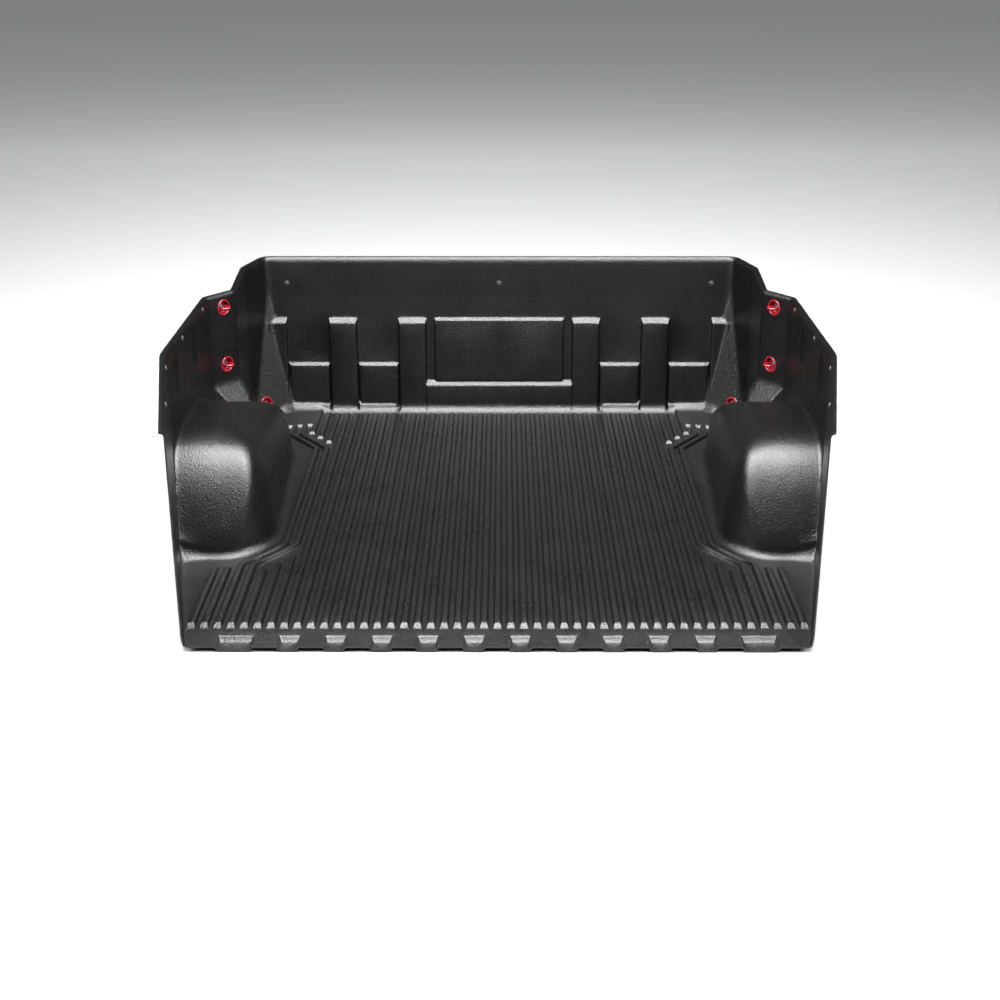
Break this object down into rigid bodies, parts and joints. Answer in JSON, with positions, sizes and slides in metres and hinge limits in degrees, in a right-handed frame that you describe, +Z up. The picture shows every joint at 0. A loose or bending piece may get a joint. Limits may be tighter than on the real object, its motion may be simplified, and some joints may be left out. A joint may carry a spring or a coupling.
{
  "type": "truck bed liner",
  "caption": "Black under-rail pickup bed liner: ribbed floor, headboard, side walls and wheel-arch bulges in one thin tub, with push rivets, rail clips and red tie-down anchors.",
  "frame": {"origin": "middle of the underside: centre of the overall box at the level of the lowest point, the undersides of the rear lip's scoops", "axes": "+X to the right seen from the tailgate, +Y forward to the cab, +Z up"},
  "size_m": [1.84, 1.87, 0.568],
  "materials": {
    "liner_plastic": "black thermoformed polyethylene, satin, fine pebble grain",
    "rivet_plastic": "moulded black nylon",
    "pin_plastic": "moulded dark grey nylon",
    "clip_steel": "phosphated spring steel",
    "red_paint": "glossy red paint",
    "bolt_steel": "zinc plated"
  },
  "bodies": {
    "liner": {"liner_tub": "liner_plastic", "rivet_headboard_left": "rivet_plastic", "rivet_headboard_centre": "rivet_plastic", "rivet_headboard_right": "rivet_plastic", "rivet_rail_left_1": "rivet_plastic", "rivet_rail_left_2": "rivet_plastic", "rivet_rail_left_3": "rivet_plastic", "rivet_rail_left_4": "rivet_plastic", "rivet_rail_right_1": "rivet_plastic", "rivet_rail_right_2": "rivet_plastic", "rivet_rail_right_3": "rivet_plastic", "rivet_rail_right_4": "rivet_plastic", "rail_clip_left_1": "clip_steel", "rail_clip_left_2": "clip_steel", "rail_clip_left_3": "clip_steel", "rail_clip_left_4": "clip_steel", "tie_cup_lower_left": "red_paint", "tie_loop_lower_left": "red_paint", "tie_bolt_lower_left": "bolt_steel", "tie_cup_upper_left": "red_paint", "tie_loop_upper_left": "red_paint", "tie_bolt_upper_left": "bolt_steel", "tie_cup_floor_left": "red_paint", "tie_loop_floor_left": "red_paint", "tie_bolt_floor_left": "bolt_steel", "rail_clip_right_1": "clip_steel", "rail_clip_right_2": "clip_steel", "rail_clip_right_3": "clip_steel", "rail_clip_right_4": "clip_steel", "tie_cup_lower_right": "red_paint", "tie_loop_lower_right": "red_paint", "tie_bolt_lower_right": "bolt_steel", "tie_cup_upper_right": "red_paint", "tie_loop_upper_right": "red_paint", "tie_bolt_upper_right": "bolt_steel", "tie_cup_floor_right": "red_paint", "tie_loop_floor_right": "red_paint", "tie_bolt_floor_right": "bolt_steel"},
    "pin_headboard_left": {"rivet_pin_headboard_left": "pin_plastic"},
    "pin_headboard_centre": {"rivet_pin_headboard_centre": "pin_plastic"},
    "pin_headboard_right": {"rivet_pin_headboard_right": "pin_plastic"},
    "pin_rail_left_1": {"rivet_pin_rail_left_1": "pin_plastic"},
    "pin_rail_left_2": {"rivet_pin_rail_left_2": "pin_plastic"},
    "pin_rail_left_3": {"rivet_pin_rail_left_3": "pin_plastic"},
    "pin_rail_left_4": {"rivet_pin_rail_left_4": "pin_plastic"},
    "pin_rail_right_1": {"rivet_pin_rail_right_1": "pin_plastic"},
    "pin_rail_right_2": {"rivet_pin_rail_right_2": "pin_plastic"},
    "pin_rail_right_3": {"rivet_pin_rail_right_3": "pin_plastic"},
    "pin_rail_right_4": {"rivet_pin_rail_right_4": "pin_plastic"}
  },
  "joints": [
    {"name": "pin_pull_headboard_left", "type": "slide", "parent": "liner", "child": "pin_headboard_left", "axis": [0, -1, 0], "range_m": [0, 0.008]},
    {"name": "pin_pull_headboard_centre", "type": "slide", "parent": "liner", "child": "pin_headboard_centre", "axis": [0, -1, 0], "range_m": [0, 0.008]},
    {"name": "pin_pull_headboard_right", "type": "slide", "parent": "liner", "child": "pin_headboard_right", "axis": [0, -1, 0], "range_m": [0, 0.008]},
    {"name": "pin_pull_rail_left_1", "type": "slide", "parent": "liner", "child": "pin_rail_left_1", "axis": [0.9799, 0.1995, 0], "range_m": [0, 0.008]},
    {"name": "pin_pull_rail_left_2", "type": "slide", "parent": "liner", "child": "pin_rail_left_2", "axis": [0.9799, 0.1995, 0], "range_m": [0, 0.008]},
    {"name": "pin_pull_rail_left_3", "type": "slide", "parent": "liner", "child": "pin_rail_left_3", "axis": [1, 0, 0], "range_m": [0, 0.008]},
    {"name": "pin_pull_rail_left_4", "type": "slide", "parent": "liner", "child": "pin_rail_left_4", "axis": [1, 0, 0], "range_m": [0, 0.008]},
    {"name": "pin_pull_rail_right_1", "type": "slide", "parent": "liner", "child": "pin_rail_right_1", "axis": [-0.9799, 0.1995, 0], "range_m": [0, 0.008]},
    {"name": "pin_pull_rail_right_2", "type": "slide", "parent": "liner", "child": "pin_rail_right_2", "axis": [-0.9799, 0.1995, 0], "range_m": [0, 0.008]},
    {"name": "pin_pull_rail_right_3", "type": "slide", "parent": "liner", "child": "pin_rail_right_3", "axis": [-1, 0, 0], "range_m": [0, 0.008]},
    {"name": "pin_pull_rail_right_4", "type": "slide", "parent": "liner", "child": "pin_rail_right_4", "axis": [-1, 0, 0], "range_m": [0, 0.008]}
  ]
}
